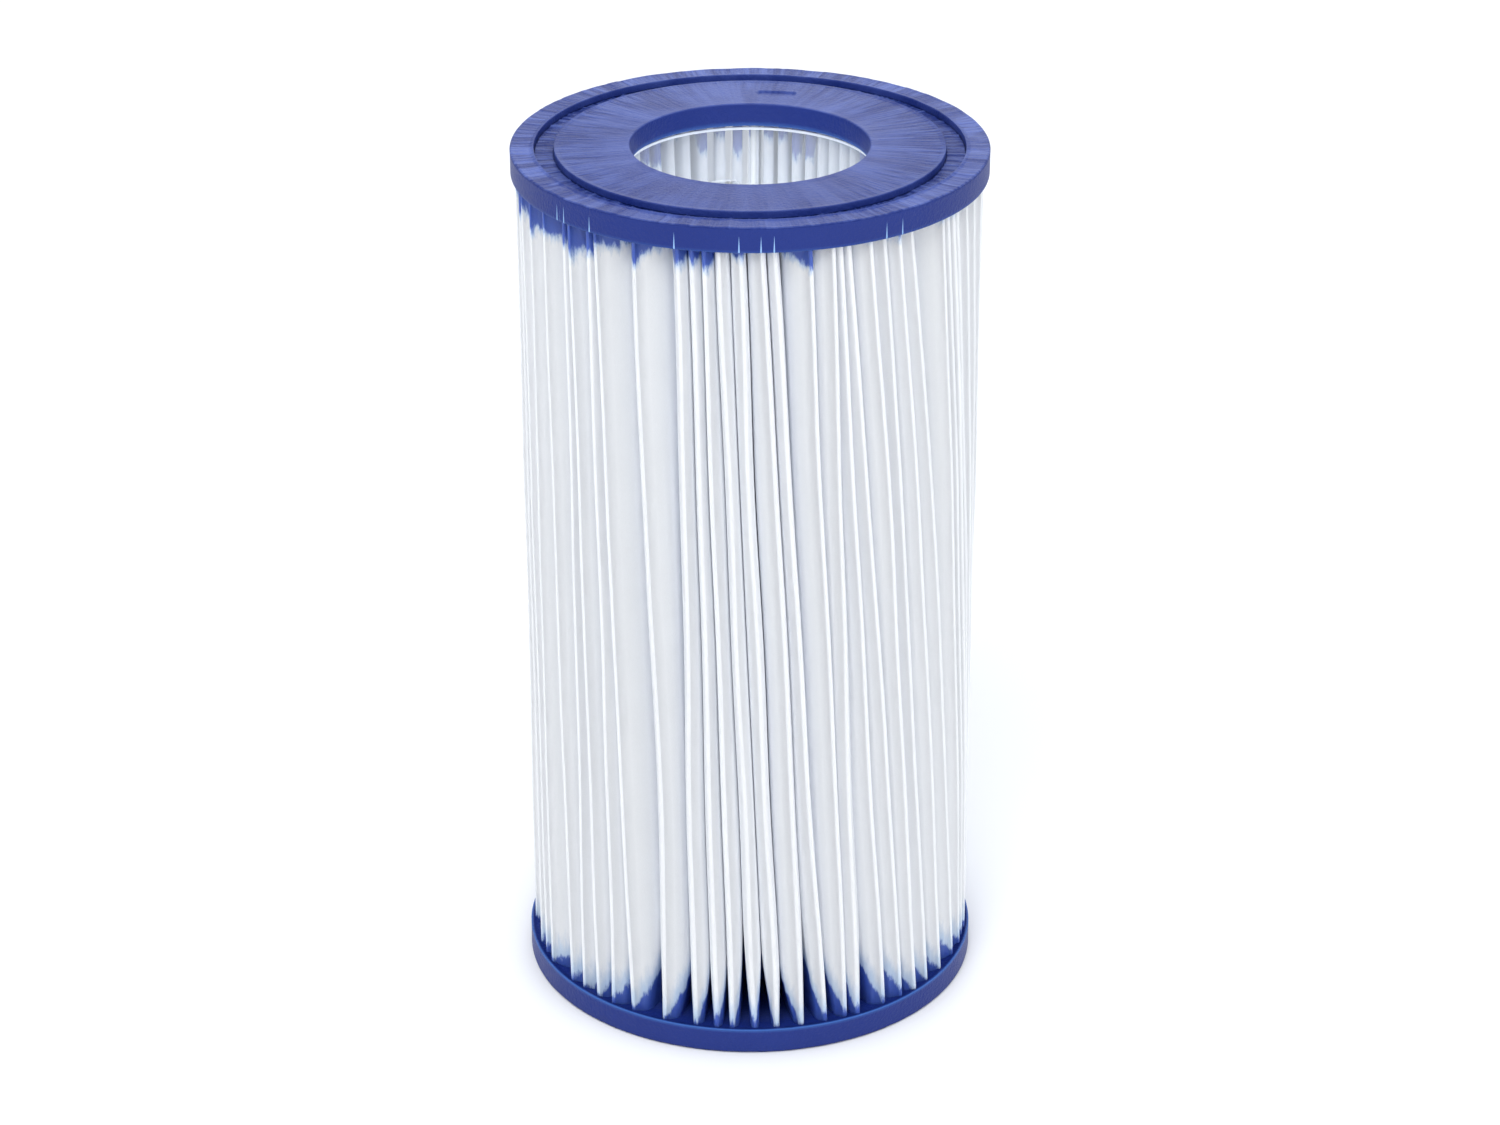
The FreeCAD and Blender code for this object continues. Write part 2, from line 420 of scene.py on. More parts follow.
sheet_faces = [tuple(f) for f in strip_faces(levels, across, 0, flip=True)]
sheet_faces += [tuple(f) for f in strip_faces(levels, across, surface_points)]
sheet_faces += rim_faces(left_ids[0], right_ids[0])
sheet_faces += rim_faces(right_ids[-1], left_ids[-1])
sheet_faces += rim_faces(right_ids[:, 0], left_ids[:, 0])
sheet_faces += rim_faces(left_ids[:, -1], right_ids[:, -1])
sheet_points = np.concatenate([left_surface.reshape(-1, 3), right_surface.reshape(-1, 3)])
pleats = new_piece("pleated_sheet", sheet_points, sheet_faces)


# Where the castings' resin has crept up and down the sheet before it set.
bottom_cap_low, bottom_cap_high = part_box("bottom_end_cap")
top_cap_low, top_cap_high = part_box("top_end_cap")
lip_height = 0.4 * mm
bottom_resin = bottom_cap_high[2] - lip_height
top_resin = top_cap_low[2] + lip_height


def soaked_reach():
    """For every point of one level: how far the resin reaches up from below and down from above."""
    section = sections[-1]
    depth = section[:, 2]
    leaves_fold = (np.diff(depth) != 0) & (np.minimum(depth[1:], depth[:-1]) == 0.0)
    panel = np.cumsum(np.append(0, leaves_fold)).astype(int)
    turn = off_angle(section[:, 0], math.radians(front_angle))
    from_tip = (1 - depth) * pack_depth
    tip_up = draw.uniform(0.2, 3.4, panel.max() + 1)[panel] * mm
    open_front = np.cos(np.clip(turn * 1.35, -math.pi / 2, math.pi / 2)) ** 2
    valley_up = (draw.uniform(3.0, 6.5, panel.max() + 1)[panel] + 9.0 * open_front) * mm
    up = tip_up + valley_up * (1 - np.exp(-from_tip / (3.0 * mm)))
    left_front = smooth_step(math.radians(-112), math.radians(-86), turn) * (
        1 - smooth_step(math.radians(-38), math.radians(-24), turn))
    drips = draw.uniform(-1.2, 1.0, panel.max() + 1) + 3.0 * (draw.uniform(0, 1, panel.max() + 1) > 0.9)
    for angle, long in ((-28, 3.5), (-17, 4.5), (-13.5, 3.5), (-10, 5.0), (-2, 2.0), (11.5, 4.5)):
        near = int(np.argmin(np.abs(turn - math.radians(angle)) + 9.0 * (depth < 1)))
        drips[panel[near]] = long
    tip_down = drips[panel] * (0.25 + 0.75 * np.exp(-from_tip / (2.5 * mm))) * mm
    tip_down += left_front * draw.uniform(2.5, 8.0, panel.max() + 1)[panel] * mm
    valley_down = draw.choice([0.5, 1.5, 3.0, 4.5, 6.0, 7.5], panel.max() + 1)[panel] * mm
    down = tip_down + (valley_down - tip_down) * smooth_step(0.8, 1.0, 1 - depth)
    return up, down


up_reach, down_reach = soaked_reach()
note_values(pleats, "resin_up", np.tile(up_reach, 2 * levels))
note_values(pleats, "resin_down", np.tile(down_reach, 2 * levels))
note_values(pleats, "tipness", np.tile(sections[0][:, 2] ** 6, 2 * levels))


def soaked_resin():
    """Resin drawn into cloth: full where it stands, ragged at its edge, and a faint haze past that."""
    group, given, result = effect_group(
        "soaked resin",
        [("Height", "NodeSocketFloat", 0.0), ("Reach", "NodeSocketFloat", 0.005),
         ("Ragged", "NodeSocketFloat", 0.0012), ("Haze length", "NodeSocketFloat", 0.008)],
        [("Soaked", "NodeSocketFloat"), ("Haze", "NodeSocketFloat")],
    )
    here = place(group, "ShaderNodeTexCoord").outputs["Object"]
    wisps = place(group, "ShaderNodeMapping", Vector=here, Scale=(750.0, 750.0, 210.0))
    noise = place(group, "ShaderNodeTexNoise", Vector=wisps.outputs["Vector"], Scale=1.0, Detail=5.0,
                  Roughness=0.62)
    centred = maths(group, "SUBTRACT", noise.outputs["Fac"], 0.5)
    ragged = maths(group, "MULTIPLY", maths(group, "MULTIPLY", centred, given["Ragged"]), 6.0)
    past = maths(group, "SUBTRACT", given["Height"], maths(group, "ADD", given["Reach"], ragged))
    soaked = ranged(group, past, to=(1.0, 0.0), start=(-1.1 * mm, 0.7 * mm), easing="SMOOTHSTEP")
    haze = ranged(group, past, to=(1.0, 0.0), start=(-1.0 * mm, given["Haze length"]),
                  easing="SMOOTHERSTEP")
    group.links.new(soaked, result["Soaked"])
    group.links.new(haze, result["Haze"])
    return group


def media_material():
    """White felted cloth with a painted highlight along each tip, and blue where resin has soaked in."""
    material, tree, surface = finish_material("spunbonded_polyester")
    here = place(tree, "ShaderNodeTexCoord").outputs["Object"]
    height = place(tree, "ShaderNodeSeparateXYZ", Vector=here).outputs["Z"]
    soak = soaked_resin()

    def creep(height_socket, attribute, haze_length):
        reach = place(tree, "ShaderNodeAttribute", {"attribute_name": attribute}).outputs["Fac"]
        return place(tree, "ShaderNodeGroup", {"node_tree": soak}, Height=height_socket, Reach=reach,
                     Haze_length=haze_length).outputs

    above_casting = maths(tree, "SUBTRACT", height, bottom_resin)
    below_casting = maths(tree, "SUBTRACT", top_resin, height)
    from_below = creep(above_casting, "resin_up", 9 * mm)
    from_above = creep(below_casting, "resin_down", 3 * mm)
    soaked = maths(tree, "MAXIMUM", from_below["Soaked"], from_above["Soaked"])
    haze = maths(tree, "MAXIMUM", from_below["Haze"], from_above["Haze"])

    fibres = place(tree, "ShaderNodeMapping", Vector=here, Scale=(1.0, 1.0, 0.55))
    felt = place(tree, "ShaderNodeTexNoise", Vector=fibres.outputs["Vector"], Scale=1500.0, Detail=6.0,
                 Roughness=0.7, Distortion=1.4).outputs["Fac"]
    grain = grain_in(tree, 2600.0, 26.0)
    # Painted highlight: each pleat's tip, read from tipness, is mixed towards a paler white.
    tip_highlight_mask = place(tree, "ShaderNodeAttribute", {"attribute_name": "tipness"}).outputs["Fac"]
    cloth = blend(tree, grain["Mottle"], (0.836, 0.874, 0.976, 1), (0.868, 0.900, 0.984, 1))
    tip_highlighted = blend(tree, tip_highlight_mask, cloth, (0.918, 0.938, 0.99, 1))
    fibre_tone = ranged(tree, felt, to=(0.965, 1.02))
    white = place(tree, "ShaderNodeVectorMath", {"operation": "SCALE"}, _0=tip_highlighted, Scale=fibre_tone)
    hazed = blend(tree, maths(tree, "MULTIPLY", haze, 0.6), white.outputs["Vector"],
                  (0.12, 0.31, 0.66, 1))
    resin_tone = blend(tree, felt, (0.030, 0.068, 0.34, 1), (0.050, 0.110, 0.42, 1))
    tree.links.new(blend(tree, soaked, hazed, resin_tone), surface["Base Color"])
    tree.links.new(ranged(tree, soaked, to=(0.86, 0.5)), surface["Roughness"])
    relief = maths(tree, "ADD", felt, grain["Height"])
    bump = place(tree, "ShaderNodeBump", Height=relief, Strength=0.16, Distance=0.12 * mm)
    tree.links.new(bump.outputs["Normal"], surface["Normal"])
    surface["Subsurface Weight"].default_value = 1.0
    surface["Subsurface Radius"].default_value = (1.0, 1.0, 1.0)
    surface["Subsurface Scale"].default_value = 2.5 * mm
    return material


pleats.data.materials.append(media_material())
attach(pleats, "root")
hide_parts("pleated_media")


# ---- Seam bead
# Hot-melt adhesive laid between the sheet's first and last panels, next to the
# core. It is a lumpy strand, because it is run in by hand along the pleat.

bead_width = 6.0 * mm
bead_sinks = 0.03 * mm
bead_crown = 0.25 * mm
bead_depths = np.linspace(0, bead_width / pack_depth, 5)


def bead_section(level):
    """Points round the bead at one level, a hair inside the two panels that it joins."""
    section = sections[level]
    reach = bead_depths * (1 + 0.16 * math.sin(2.1 * level) + 0.1 * math.sin(0.7 * level))
    first = section[: len(panel_depths) + 1]
    last = section[-len(panel_depths) - 1:][::-1]
    radius = np.interp(reach, first[:, 2], first[:, 1])
    clear = (sheet_thickness / 2 - bead_sinks) / radius
    first_side = np.interp(reach, first[:, 2], first[:, 0]) - clear
    last_side = np.interp(reach, last[:, 2], last[:, 0]) - 2 * math.pi + clear
    crown = radius[-1] + bead_crown
    ring = list(zip(first_side, radius)) + [((first_side[-1] + last_side[-1]) / 2, crown)]
    return ring + list(zip(last_side[::-1], radius[::-1]))


bead_rings = np.array([bead_section(level) for level in range(levels)])
bead_round = bead_rings.shape[1]
bead_points = np.stack([bead_rings[:, :, 1] * np.cos(bead_rings[:, :, 0]),
                        bead_rings[:, :, 1] * np.sin(bead_rings[:, :, 0]),
                        np.repeat(level_heights[:, None], bead_round, axis=1)], axis=2).reshape(-1, 3)
bead_faces = []
for level in range(levels - 1):
    for i in range(bead_round):
        j = (i + 1) % bead_round
        low, high = level * bead_round, (level + 1) * bead_round
        bead_faces.append((low + i, high + i, high + j, low + j))
bead_faces.append(tuple(range(bead_round)))
bead_faces.append(tuple((levels - 1) * bead_round + i for i in reversed(range(bead_round))))
bead = new_piece("seam_bead", bead_points, bead_faces)


def hot_melt():
    """Cloudy, off-white glue that has set with a soft shine."""
    material, tree, surface = finish_material("hot_melt_adhesive")
    grain = grain_in(tree, 350.0, 90.0)
    tone = blend(tree, grain["Mottle"], (0.80, 0.80, 0.76, 1), (0.90, 0.90, 0.88, 1))
    tree.links.new(tone, surface["Base Color"])
    tree.links.new(ranged(tree, grain["Height"], to=(0.3, 0.5)), surface["Roughness"])
    bump = place(tree, "ShaderNodeBump", Height=grain["Height"], Strength=0.2, Distance=0.3 * mm)
    tree.links.new(bump.outputs["Normal"], surface["Normal"])
    return material


bead.data.materials.append(hot_melt())
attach(bead, "root")
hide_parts("media_seam_bead")


# ---- Bottom end cap
# Blue polyurethane poured into a round pan mould, with the pleats and the core
# stood in it until it sets. The face shows a turned groove and, as faint radial
# ridges, the ends of the pleats under the skin.

cap_radius = bottom_cap_high[0]
bore_radius = [m for m in frame["record"]["mounts"] if m["name"] == "top_bore"][0]["dims"]["r_mm"] * mm
rim_land = 5.3 * mm
groove_width = 4.4 * mm
groove_depth = 1.8 * mm
edge_round = 0.5 * mm
groove_round = 0.3 * mm
floor_round = 0.25 * mm
lip_width = 0.7 * mm
groove_outer = cap_radius - rim_land
groove_inner = groove_outer - groove_width
facet_sink = 0.22 * mm
highlight_line_width = 0.009
shade_line_width = 0.012
land_grain = 0.012 * mm
side_hollow = 0.05 * mm
print_reach = 0.8 * mm
spike_width = math.radians(0.42)
around = 840
turns = np.arange(around) * 2 * math.pi / around


def corner(centre_r, centre_h, radius, start, end, steps=4):
    """Points of a rounded corner of a profile, between two angles in degrees."""
    swing = np.radians(np.linspace(start, end, steps + 1))
    return list(zip(centre_r + radius * np.cos(swing), centre_h + radius * np.sin(swing)))


def run(start, end, steps):
    """Evenly spaced points between two points of a profile, without its ends."""
    part = np.linspace(0, 1, steps + 1)[1:-1, None]
    return [tuple(p) for p in np.array(start) + (np.array(end) - np.array(start)) * part]


def casting_profile(depth, finer_at=()):
    """Half section of a casting: radius, and height from its outer face inwards."""
    disc = list(np.linspace(bore_radius + edge_round, groove_inner - groove_round, 17)[1:-1])
    for edge in finer_at:
        disc = [r for r in disc if abs(r - edge) > 0.45 * mm]
        disc += list(edge + np.linspace(-0.32, 0.32, 9) * mm)
    top = depth + lip_height
    lip_in = cap_radius - lip_width
    profile = corner(bore_radius + edge_round, depth - edge_round, edge_round, 90, 180)
    profile += run((bore_radius, depth - edge_round), (bore_radius, edge_round), 6)
    profile += corner(bore_radius + edge_round, edge_round, edge_round, 180, 270)
    profile += [(r, 0) for r in sorted(disc)]
    profile += corner(groove_inner - groove_round, groove_round, groove_round, 270, 360, 3)
    profile += run((groove_inner, groove_round), (groove_inner, groove_depth - floor_round), 3)
    profile += corner(groove_inner + floor_round, groove_depth - floor_round, floor_round, 180, 90, 3)
    profile += run((groove_inner + floor_round, groove_depth),
                   (groove_outer - floor_round, groove_depth), 6)
    profile += corner(groove_outer - floor_round, groove_depth - floor_round, floor_round, 90, 0, 3)
    profile += run((groove_outer, groove_depth - floor_round), (groove_outer, groove_round), 3)
    profile += corner(groove_outer + groove_round, groove_round, groove_round, 180, 270, 3)
    profile += run((groove_outer + groove_round, 0), (cap_radius - edge_round, 0), 8)
    profile += corner(cap_radius - edge_round, edge_round, edge_round, 270, 360)
    profile += run((cap_radius, edge_round), (cap_radius, top - 0.2 * mm), 9)
    profile += corner(cap_radius - 0.2 * mm, top - 0.2 * mm, 0.2 * mm, 0, 90, 3)
    profile += corner(lip_in + 0.15 * mm, top - 0.15 * mm, 0.15 * mm, 90, 180, 2)
    profile += run((lip_in, depth), (bore_radius + edge_round, depth), 16)
    return np.array(profile)


def ring_noise(size, random):
    """Smooth noise round the ring, with bumps about size steps wide."""
    raw = random.normal(0, 1, around)
    reach = np.arange(-2 * size, 2 * size + 1)
    weights = np.exp(-0.5 * (reach / (0.6 * size)) ** 2)
    wrapped = np.concatenate([raw[-2 * size:], raw, raw[:2 * size]])
    smooth = np.convolve(wrapped, weights, mode="valid")
    return smooth / smooth.std()


def facets(tips, random):
    """Each pleat's end under the surface tilts two stretches of the land: their heights and painted
    sheen.

    A stretch starts with a painted highlight line and ends with a painted shade line.
    """
    halfway = tips + (next_round(tips) - tips) * random.uniform(0.35, 0.65, len(tips))
    edges = np.sort(np.concatenate([tips, halfway]) % (2 * math.pi))
    index = np.searchsorted(edges, turns) - 1
    ahead = np.append(edges[1:], edges[0] + 2 * math.pi)
    gaps = ahead - edges
    share = ((turns - edges[index]) % (2 * math.pi)) / gaps[index]
    tilt = random.uniform(-1, 1, len(edges))
    level = random.uniform(-0.5, 0.5, len(edges))
    heights = tilt[index] * (share - 0.5) + level[index]
    wrapped = np.concatenate([heights[-2:], heights, heights[:2]])
    highlight_strength = random.uniform(0.2, 1.6, len(edges))
    shade_strength = random.uniform(0.2, 1.2, len(edges))
    past_edge = share * gaps[index]
    before_edge = (1 - share) * gaps[index]
    # Painted sheen per stretch, with a painted highlight line at its start and a painted shade line at
    # its end.
    line = np.exp(-(past_edge / highlight_line_width) ** 2) * highlight_strength[index]
    shade = np.exp(-(before_edge / shade_line_width) ** 2) * shade_strength[index]
    sheen_tones = (tilt * 0.8 + level)[index] + line - shade
    return np.convolve(wrapped, [0.05, 0.2, 0.5, 0.2, 0.05], mode="valid"), sheen_tones


def face_zones(radius, height):
    """How far each ring of the profile belongs to the rim land, the groove's floor and the disc."""
    land = smooth_step(groove_outer, groove_outer + 0.8 * mm, radius) * smooth_step(
        0.6 * mm, 0.1 * mm, height)
    floor = smooth_step(groove_depth - 0.35 * mm, groove_depth - 0.05 * mm, height) * smooth_step(
        groove_depth + 0.4 * mm, groove_depth + 0.1 * mm, height)
    floor *= smooth_step(groove_inner - 0.1 * mm, groove_inner + 0.3 * mm, radius) * smooth_step(
        groove_outer + 0.1 * mm, groove_outer - 0.3 * mm, radius)
    disc = smooth_step(0.25 * mm, 0.05 * mm, height) * smooth_step(
        bore_radius + 0.3 * mm, bore_radius + 1.5 * mm, radius) * smooth_step(
        groove_inner - 0.1 * mm, groove_inner - 0.7 * mm, radius)
    return land, floor, disc


def pleat_spikes(tips, random):
    """Round the groove's floor, a sharp ridge over each pleat's tip and one between each two."""
    between = tips + np.diff(np.append(tips, tips[0] + 2 * math.pi)) * 0.45
    spikes = np.zeros(around)
    for tip in np.concatenate([tips, between]):
        height = random.uniform(0.06, 0.36)
        spikes -= height * np.exp(-0.5 * (off_angle(turns, tip) / spike_width) ** 2)
    return spikes


def recess_sink(radius, middle, recess):
    """The blank recess of the mould's insert: how deep the face lies there, rounded at its corners."""
    angle, length, width, corner_round, deep = recess
    sideways = np.abs(off_angle(turns, angle)) * middle
    over = np.maximum(sideways - (length / 2 - corner_round), 0)
    out = np.maximum(np.abs(radius - middle) - (width / 2 - corner_round), 0)
    inside = corner_round - np.sqrt(over[None, :] ** 2 + out ** 2)
    return deep * smooth_step(-0.1 * mm, 0.1 * mm, inside)


def nearest_tip(touching):
    """Along the cap's side, how far round the nearest tip is that touched the mould."""
    to_tip = np.full(around, 3.0 * mm)
    for tip in touching:
        away = off_angle(turns, tip) * cap_radius
        to_tip = np.where(np.abs(away) < np.abs(to_tip), away, to_tip)
    return to_tip


def cast_cap(name, depth, tips, outer_z, inward, random, lip_highlight, recess=None, touching=()):
    """A casting's mesh, with its face at outer_z and its inside towards inward."""
    middle = (bore_radius + groove_inner) / 2
    edges_of_recess = (middle - recess[2] / 2, middle + recess[2] / 2) if recess else ()
    profile = casting_profile(depth, edges_of_recess)
    radius, height = profile[:, 0][:, None], profile[:, 1][:, None]
    land, floor, disc = face_zones(radius, height)
    outward = np.clip((radius - bore_radius) / (groove_inner - bore_radius), 0, 1)
    facet_heights, facet_sheen = facets(tips, random)
    inboard = 0.5 + 0.5 * smooth_step(cap_radius - 0.4 * mm, cap_radius - 1.3 * mm, radius)
    sink = land * inboard * (facet_sink * (facet_heights + 1) + land_grain * (ring_noise(3, random) + 3))
    spikes = pleat_spikes(tips, random)
    sink = sink + floor * (spikes + 0.05 * ring_noise(3, random)) * mm
    streaks = 0.022 * ring_noise(2, random) * outward + 0.02 * ring_noise(4, random) * outward ** 2
    streaks = streaks + 0.016 * ring_noise(3, random) * (1 - outward) + 0.035 * ring_noise(28, random)
    sink = sink + disc * np.maximum(streaks + 0.16, 0) * mm
    # Painted highlight: a paler blue band at the bore's lower edge and along the lip's top.
    edge_highlight_mask = 0.5 * smooth_step(depth - 0.9 * mm, depth - 0.1 * mm, height) * smooth_step(
        bore_radius + 0.6 * mm, bore_radius + 0.1 * mm, radius) + lip_highlight * smooth_step(
        depth, depth + lip_height, height) * smooth_step(cap_radius - lip_width, cap_radius, radius)
    if recess:
        sink = sink + (height < 0.1 * mm) * recess_sink(radius, middle, recess)
    to_tip = nearest_tip(touching)
    side = smooth_step(cap_radius - 0.3 * mm, cap_radius - 0.02 * mm, radius)
    depth_wise = np.clip((height - 0.25 * depth) / (0.75 * depth), 0, 1)
    below_edge = smooth_step(0.6 * mm, 1.4 * mm, height)
    hollow = side * below_edge * (0.5 + 0.5 * np.tanh(ring_noise(9, random)))
    full_radius = np.broadcast_to(radius, (len(profile), around)) - side_hollow * hollow
    z = outer_z + inward * (height + sink)
    points = np.stack([full_radius * np.cos(turns), full_radius * np.sin(turns),
                       np.broadcast_to(z, full_radius.shape)], axis=2).reshape(-1, 3)
    rings = len(profile)
    ring_ids = np.arange(rings * around).reshape(rings, around)
    here, beyond = ring_ids, np.roll(ring_ids, -1, axis=0)
    quads = np.stack([here, np.roll(here, -1, axis=1), np.roll(beyond, -1, axis=1), beyond], axis=2)
    quads = quads.reshape(-1, 4)
    piece = new_piece(name, points, quads[:, ::-1] if inward > 0 else quads)

    near_tip = np.abs(to_tip) < print_reach
    from_left_or_right = np.cos(turns) ** 2
    front = np.clip(-np.sin(turns), 0, 1) ** 2
    # Ribs weigh more at left and right; besides the bump they carry painted sheen along the ridges.
    ribbed = disc * outward ** 0.8 * (0.25 + 0.75 * from_left_or_right) + 0.45 * land + 1.6 * floor
    in_groove = smooth_step(groove_inner - 0.1 * mm, groove_inner, radius) * smooth_step(
        groove_outer + 0.1 * mm, groove_outer, radius)
    edge_on = 0.45 + 0.55 * from_left_or_right
    # Painted sheen and shade: the faces, the land's facets, the floor's ridges and the groove are made
    # paler, more so at left and right; at the front it is halved as painted shade.
    painted_sheen = smooth_step(0.3 * mm, 0.05 * mm, height) + land * (0.15 + 0.95 * facet_sheen * edge_on)
    painted_sheen = painted_sheen + floor * (0.5 - 1.5 * spikes * edge_on) + 0.4 * in_groove
    painted_sheen = painted_sheen * (1 - 0.5 * front)
    looks = {"edge_highlight": edge_highlight_mask, "to_tip": to_tip, "tip_print": side * depth_wise * near_tip,
             "ribbed": ribbed, "painted_sheen": painted_sheen}
    for look, values in looks.items():
        note_values(piece, look, np.broadcast_to(values, (rings, around)))
    return piece


def radial_streaks():
    """Streaks that run out from the axis: a height and a slower tone, between 0 and 1."""
    group, given, result = effect_group(
        "radial streaks",
        [("Streaks per radian", "NodeSocketFloat", 42.0),
         ("Breaks per metre", "NodeSocketFloat", 90.0)],
        [("Height", "NodeSocketFloat"), ("Tone", "NodeSocketFloat")],
    )
    here = place(group, "ShaderNodeTexCoord").outputs["Object"]
    parts = place(group, "ShaderNodeSeparateXYZ", Vector=here).outputs
    flat = place(group, "ShaderNodeCombineXYZ", X=parts["X"], Y=parts["Y"])
    way = place(group, "ShaderNodeVectorMath", {"operation": "NORMALIZE"}, _0=flat.outputs["Vector"])
    spread = place(group, "ShaderNodeVectorMath", {"operation": "SCALE"}, _0=way.outputs["Vector"],
                   Scale=given["Streaks per radian"])
    distance = place(group, "ShaderNodeVectorMath", {"operation": "LENGTH"}, _0=flat.outputs["Vector"])
    run_out = maths(group, "MULTIPLY", distance.outputs["Value"], given["Breaks per metre"])
    lift = place(group, "ShaderNodeCombineXYZ", Z=run_out)
    where = place(group, "ShaderNodeVectorMath", {"operation": "ADD"}, _0=spread.outputs["Vector"],
                  _1=lift.outputs["Vector"])
    fine = place(group, "ShaderNodeTexNoise", Vector=where.outputs["Vector"], Scale=1.0, Detail=4.0,
                 Roughness=0.6)
    slow = place(group, "ShaderNodeTexNoise", Vector=where.outputs["Vector"], Scale=0.16, Detail=2.0)
    group.links.new(fine.outputs["Fac"], result["Height"])
    group.links.new(slow.outputs["Fac"], result["Tone"])
    return group


streak_group = radial_streaks()


def cast_resin(name):
    """Deep blue resin, with a painted sheen where it set against the mould and a painted highlight along
    the bore's lower edge and the lip.
    """
    material, tree, surface = finish_material(name)

    def kept(attribute):
        return place(tree, "ShaderNodeAttribute", {"attribute_name": attribute}).outputs["Fac"]

    grain = grain_in(tree, 1300.0, 70.0)
    streak = place(tree, "ShaderNodeGroup", {"node_tree": streak_group}).outputs
    deep = blend(tree, grain["Mottle"], (0.009, 0.024, 0.175, 1), (0.013, 0.032, 0.205, 1))
    # Painted sheen: the face that set against the mould is mixed towards a pale blue, more so along the
    # ridges.
    ridges = maths(tree, "MULTIPLY", maths(tree, "SUBTRACT", streak["Height"], 0.5), 3.4)
    ridges = maths(tree, "MULTIPLY", kept("ribbed"), ridges)
    cloudy = maths(tree, "ADD", maths(tree, "ADD", grain["Mottle"], streak["Tone"]), ridges)
    clouds = ranged(tree, cloudy, to=(0.06, 0.72), start=(0.78, 1.22))
    sheened_colour = blend(tree, maths(tree, "MULTIPLY", kept("painted_sheen"), clouds), deep, (0.092, 0.138, 0.43, 1))
    # Painted highlight along the bore's lower edge and the lip.
    lit = blend(tree, kept("edge_highlight"), sheened_colour, (0.07, 0.22, 0.62, 1))
    # Where a pleat's tip touched the mould, a thin pale line shows, widest at the casting's inside.
    off_line = maths(tree, "ABSOLUTE", kept("to_tip"))
    line_width = ranged(tree, kept("tip_print"), to=(-0.03 * mm, 0.17 * mm))
    printed = blend(tree, maths(tree, "LESS_THAN", off_line, line_width), lit, (0.28, 0.47, 0.78, 1))
    tree.links.new(printed, surface["Base Color"])
    tree.links.new(ranged(tree, grain["Mottle"], to=(0.34, 0.52)), surface["Roughness"])
    radial = maths(tree, "MULTIPLY", kept("ribbed"), streak["Height"])
    relief = maths(tree, "ADD", radial, maths(tree, "MULTIPLY", grain["Height"], 0.22))
    bump = place(tree, "ShaderNodeBump", Height=relief, Strength=1.0, Distance=1.1 * mm)
    tree.links.new(bump.outputs["Normal"], surface["Normal"])
    surface["Specular IOR Level"].default_value = 0.22
    return material


bottom_depth = bottom_resin - bottom_cap_low[2]
bottom_cap = cast_cap("bottom_casting", bottom_depth, bottom_tips, bottom_cap_low[2], 1,
                      np.random.default_rng(5), 0.55)
bottom_cap.data.materials.append(cast_resin("cast_resin_bottom"))
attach(bottom_cap, "root")
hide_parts("bottom_end_cap")


# ---- Top end cap
# The second casting, from the same kind of mould. Its insert leaves a blank
# recess in the face, and here some pleat tips touch the mould's wall, so they
# show through the side of the resin as thin pale lines.

top_depth = top_cap_high[2] - top_resin
recess_angle = math.radians(80.0)
recess_length = 9.0 * mm
recess_width = 3.2 * mm
recess_corner = 1.5 * mm
recess_depth = 0.4 * mm
touching_front = np.radians(np.array([-51, -48.5, -40, -17.5, -2.5, 2.5, 5.5, 33, 37.5]) + front_angle)
touching_rest = top_tips[(np.sin(top_tips) > 0) & (draw.uniform(0, 1, pleat_count) > 0.75)]
top_cap = cast_cap("top_casting", top_depth, top_tips, top_cap_high[2], -1,
                   np.random.default_rng(9), 0.25,
                   recess=(recess_angle, recess_length, recess_width, recess_corner, recess_depth),
                   touching=np.concatenate([touching_front, touching_rest]))
top_cap.data.materials.append(cast_resin("cast_resin_top"))
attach(top_cap, "root")
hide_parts("top_end_cap")


# ---- Floor, light and camera
# A pale studio floor under soft lamps, seen from in front and above.

floor_mesh = bpy.data.meshes.new("studio_floor")
floor_half = 4.0
floor_mesh.from_pydata([(-floor_half, -floor_half, 0), (floor_half, -floor_half, 0),
                        (floor_half, floor_half, 0), (-floor_half, floor_half, 0)], [], [(0, 1, 2, 3)])
floor = bpy.data.objects.new("studio_floor", floor_mesh)
bpy.context.scene.collection.objects.link(floor)
floor_material, _, floor_surface = finish_material("pale_floor")
floor_surface["Base Color"].default_value = (0.95, 0.945, 0.935, 1)
floor_surface["Roughness"].default_value = 0.9
floor_mesh.materials.append(floor_material)

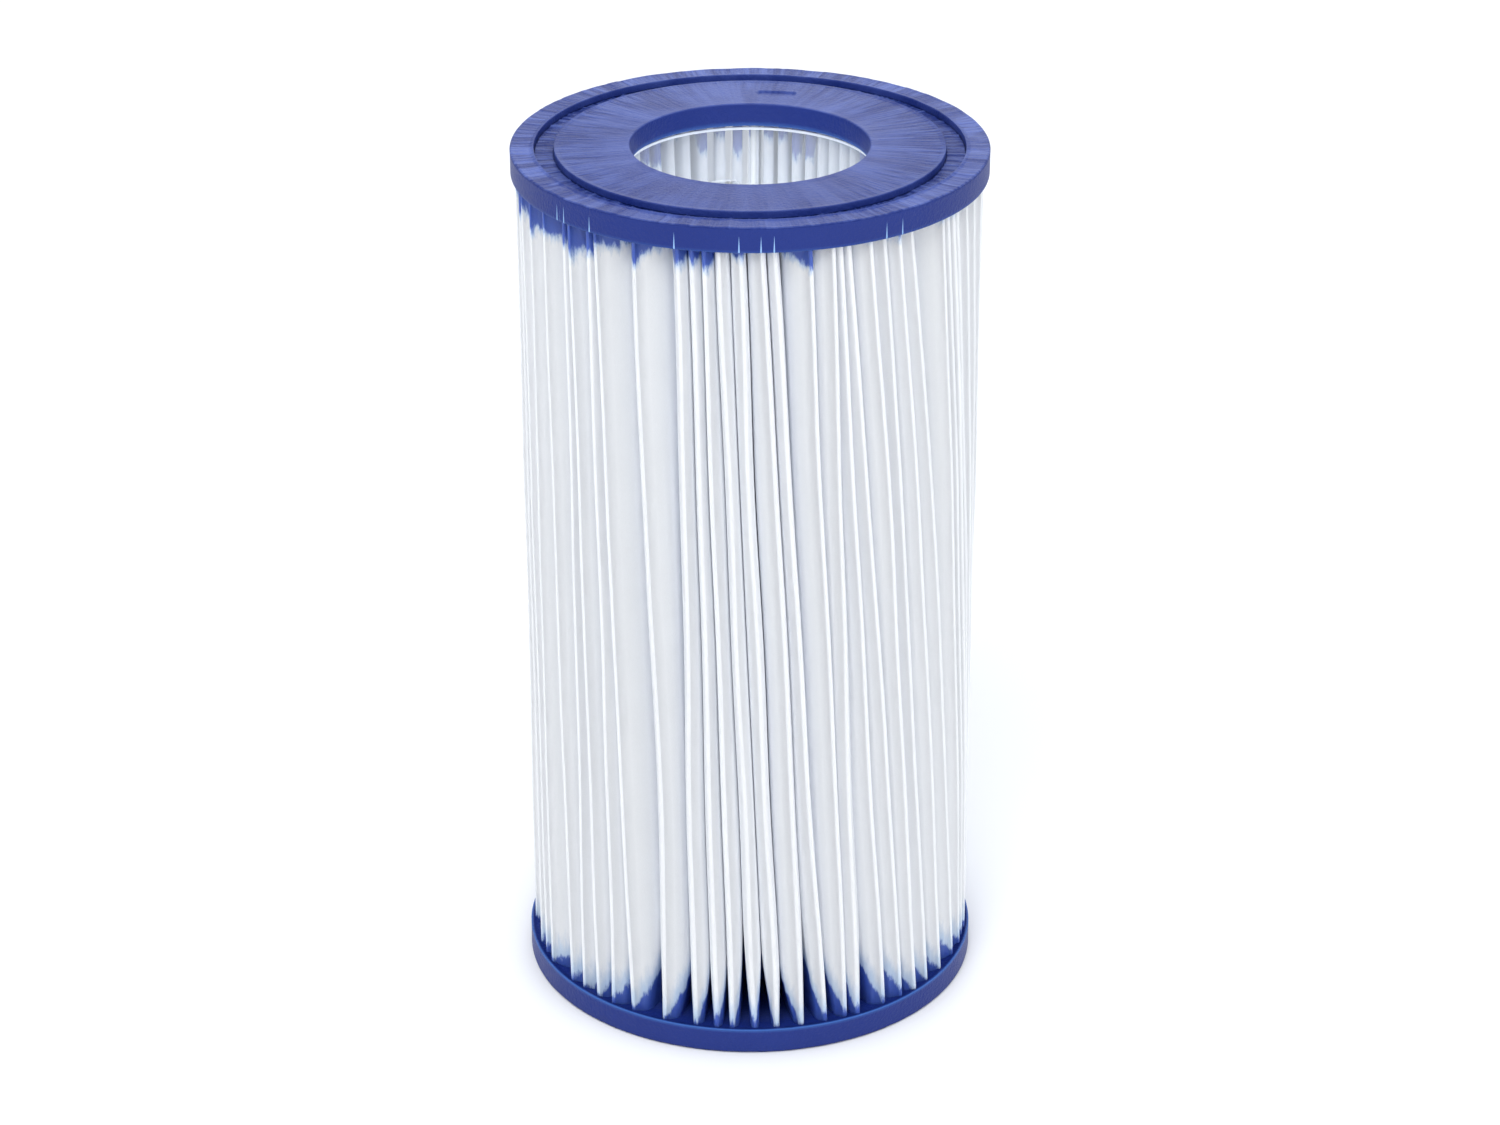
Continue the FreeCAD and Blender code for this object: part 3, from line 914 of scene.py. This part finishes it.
world = bpy.data.worlds.new("studio")
world.use_nodes = True
backdrop = world.node_tree.nodes["Background"]
backdrop.inputs["Color"].default_value = (0.89, 0.933, 1.0, 1)
backdrop.inputs["Strength"].default_value = 0.93
bpy.context.scene.world = world


def soft_lamp(name, at, aim, size, power):
    """A round lamp that the camera doesn't see."""
    lamp = bpy.data.lights.new(name, "AREA")
    lamp.shape = "DISK"
    lamp.size = size
    lamp.energy = power
    holder = bpy.data.objects.new(name, lamp)
    holder.location = at
    holder.rotation_euler = (Vector(aim) - Vector(at)).to_track_quat("-Z", "Y").to_euler()
    holder.visible_camera = False
    bpy.context.scene.collection.objects.link(holder)


middle = (0, 0, (cad_box[0][2] + cad_box[1][2]) / 2)
soft_lamp("front", (-0.15, -0.8, 1.3), middle, 0.7, 8)
soft_lamp("left", (-1.1, -0.9, 0.7), middle, 0.8, 0.9)
soft_lamp("right", (1.1, -1.0, 0.5), middle, 0.9, 3)
soft_lamp("rear", (0.1, 1.2, 0.85), middle, 0.7, 2.5)

# A small lamp down the bore, for the light that a thin cloth lets through to it.
bore_lamp = bpy.data.lights.new("bore", "POINT")
bore_lamp.shadow_soft_size = 0.012
bore_lamp.energy = 0.027
bore_lamp.color = (0.86, 0.93, 1.0)
bore_lamp.specular_factor = 0.0
bore_holder = bpy.data.objects.new("bore", bore_lamp)
bore_holder.location = (0, 0, 0.168)
bore_holder.visible_camera = False
bpy.context.scene.collection.objects.link(bore_holder)

pitch = math.radians(25.6)
distance = 0.889
look_at = Vector((0, 0, 0.1003))
away = Vector((0, -math.cos(pitch), math.sin(pitch)))
camera_data = bpy.data.cameras.new("camera")
camera_data.sensor_width = 36.0
camera_data.lens = 91.9
camera_data.clip_start = 0.01
camera = bpy.data.objects.new("camera", camera_data)
camera.location = look_at + away * distance
camera.rotation_euler = (-away).to_track_quat("-Z", "Y").to_euler()
bpy.context.scene.collection.objects.link(camera)
bpy.context.scene.camera = camera
bpy.context.scene.view_settings.view_transform = "Standard"
